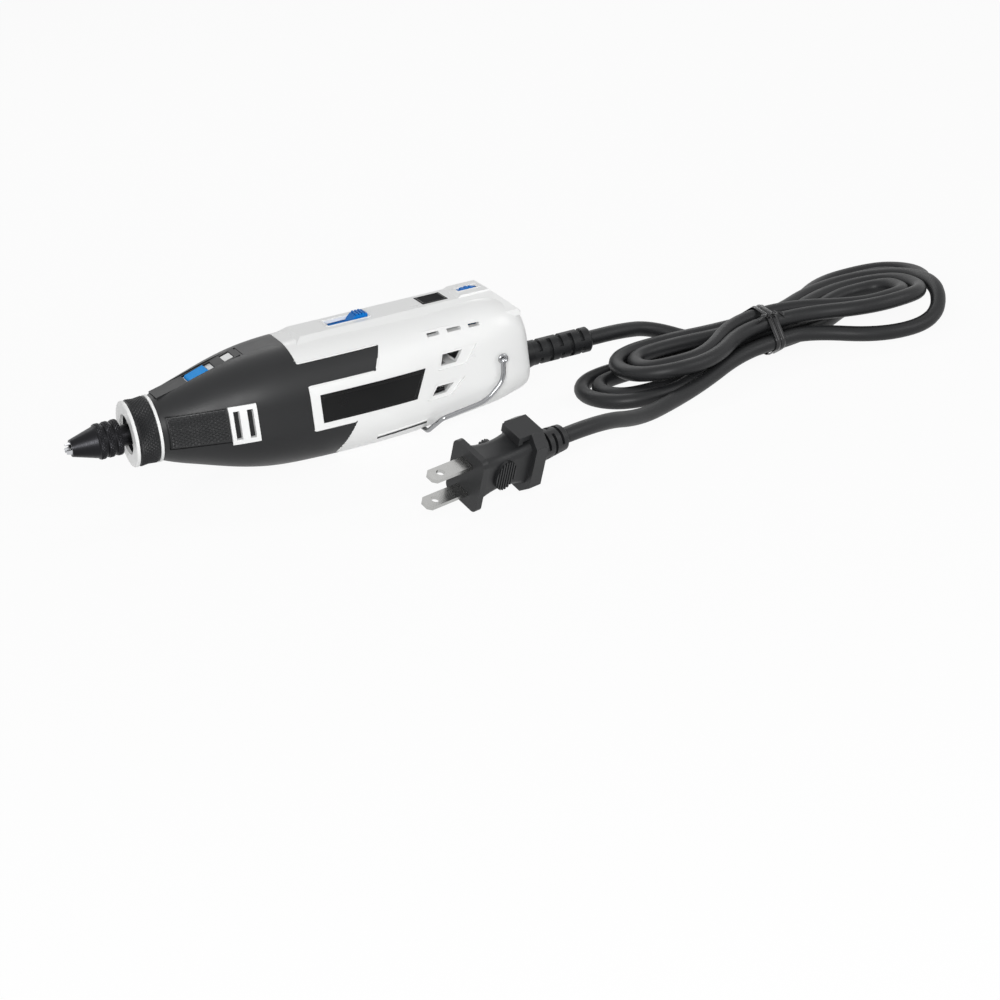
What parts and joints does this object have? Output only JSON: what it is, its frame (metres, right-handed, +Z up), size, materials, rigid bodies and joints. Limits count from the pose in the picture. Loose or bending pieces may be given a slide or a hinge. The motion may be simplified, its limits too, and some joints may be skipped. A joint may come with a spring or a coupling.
{
  "type": "corded rotary tool",
  "caption": "Handheld corded rotary tool with keyless chuck, threaded nose cap, spindle lock, sliding power switch, speed wheel, hanging bail and a tied mains lead with a two-blade plug.",
  "frame": {"origin": "middle of the tool's length, on the floor under its belly", "axes": "+X from the chuck along the motor's axis to the lead, +Y to the tool's right as it points away, +Z up through the switch"},
  "size_m": [0.3834, 0.1466, 0.0505],
  "materials": {
    "shell_white": "moulded, satin",
    "grip_rubber": "fine grain",
    "trim_black": "matt",
    "badge_black": "satin",
    "control_blue": "satin",
    "lock_blue": "satin",
    "machined_steel": "turned",
    "blackened_steel": "turned and blackened",
    "bright_wire": "polished",
    "bearing_steel": "ground",
    "laminations": "stacked sheet",
    "copper": "enamelled wire",
    "carbon": "sintered",
    "inner_plastic": "moulded",
    "board_green": "lacquered",
    "wire_red": "insulated",
    "cord_black": "matt",
    "plug_black": "matt",
    "blade_metal": "nickel plated"
  },
  "bodies": {
    "tool_body": {"housing_left": "shell_white", "housing_right": "shell_white", "vent_frame_left": "shell_white", "vent_frame_right": "shell_white", "trim_ring": "shell_white", "grip_left": "grip_rubber", "grip_right": "grip_rubber", "side_pad_left": "grip_rubber", "side_pad_right": "grip_rubber", "lock_bezel": "trim_black", "cord_boot": "trim_black", "badge_left": "badge_black", "badge_right": "badge_black", "label_plate": "badge_black", "housing_screws": "machined_steel", "clamp_screws": "machined_steel", "brush_springs": "machined_steel", "front_bearing": "bearing_steel", "rear_spindle_bearing": "bearing_steel", "motor_front_bearing": "bearing_steel", "motor_rear_bearing": "bearing_steel", "stator_core": "laminations", "field_winding": "copper", "carbon_brushes": "carbon", "brush_holders": "inner_plastic", "switch_body": "inner_plastic", "potentiometer": "inner_plastic", "cord_clamp": "inner_plastic", "speed_board": "board_green", "motor_leads": "wire_red", "cord_entry": "cord_black", "cord_lead": "cord_black", "cord_hank": "cord_black", "cord_tail": "cord_black", "cord_tie": "cord_black", "plug_body": "plug_black", "plug_boot": "plug_black", "plug_blades": "blade_metal"},
    "rotor": {"spindle": "machined_steel", "shaft_coupler": "machined_steel", "armature_shaft": "machined_steel", "armature_core": "laminations", "armature_winding": "copper", "commutator": "copper", "cooling_fan": "inner_plastic"},
    "chuck": {"chuck_body": "blackened_steel"},
    "jaw_1": {"chuck_jaw_1": "machined_steel"},
    "jaw_2": {"chuck_jaw_2": "machined_steel"},
    "jaw_3": {"chuck_jaw_3": "machined_steel"},
    "cap_ring": {"nose_ring": "shell_white"},
    "cap_collar": {"nose_cap": "trim_black"},
    "power_switch": {"power_slider": "control_blue", "switch_link": "inner_plastic"},
    "dial": {"speed_dial": "control_blue"},
    "lock": {"lock_button": "lock_blue", "lock_pin": "machined_steel", "lock_spring": "machined_steel"},
    "bail": {"hanger_bail": "bright_wire"}
  },
  "joints": [
    {"name": "rotor_spin", "type": "hinge", "parent": "tool_body", "child": "rotor", "pos_m": [0, 0, 0.0245], "axis": [1, 0, 0], "continuous": true},
    {"name": "chuck_turn", "type": "hinge", "parent": "rotor", "child": "chuck", "pos_m": [-0.0965, 0, 0.0245], "axis": [1, 0, 0], "range_deg": [0, 720]},
    {"name": "jaw_1_slide", "type": "slide", "parent": "chuck", "child": "jaw_1", "axis": [-0.9763, 0, -0.2164], "range_m": [0, 0.0046]},
    {"name": "jaw_2_slide", "type": "slide", "parent": "chuck", "child": "jaw_2", "axis": [-0.9763, 0.1874, 0.1082], "range_m": [0, 0.0046]},
    {"name": "jaw_3_slide", "type": "slide", "parent": "chuck", "child": "jaw_3", "axis": [-0.9763, -0.1874, 0.1082], "range_m": [0, 0.0046]},
    {"name": "cap_advance", "type": "slide", "parent": "tool_body", "child": "cap_ring", "axis": [-1, 0, 0], "range_m": [0, 0.00635]},
    {"name": "cap_turn", "type": "hinge", "parent": "cap_ring", "child": "cap_collar", "pos_m": [-0.08, 0, 0.0245], "axis": [1, 0, 0], "range_deg": [0, 1080]},
    {"name": "power_slide", "type": "slide", "parent": "tool_body", "child": "power_switch", "axis": [-1, 0, 0], "range_m": [0, 0.008]},
    {"name": "dial_turn", "type": "hinge", "parent": "tool_body", "child": "dial", "pos_m": [0.059, 0, 0.0405], "axis": [0, 1, 0], "range_deg": [-140, 140]},
    {"name": "lock_press", "type": "slide", "parent": "tool_body", "child": "lock", "axis": [0, 0, -1], "range_m": [0, 0.0026], "stiffness_N_per_m": 600, "deforming": ["lock_spring"]},
    {"name": "bail_swing", "type": "hinge", "parent": "tool_body", "child": "bail", "pos_m": [0.062, 0, 0.0255], "axis": [0, -1, 0], "range_deg": [0, 100]}
  ],
  "couplings": [
    {"joint": "jaw_1_slide", "follows": "chuck_turn", "m_per_rad": 0.000366},
    {"joint": "jaw_2_slide", "follows": "chuck_turn", "m_per_rad": 0.000366},
    {"joint": "jaw_3_slide", "follows": "chuck_turn", "m_per_rad": 0.000366},
    {"joint": "cap_advance", "follows": "cap_turn", "m_per_rad": 0.00033687}
  ]
}
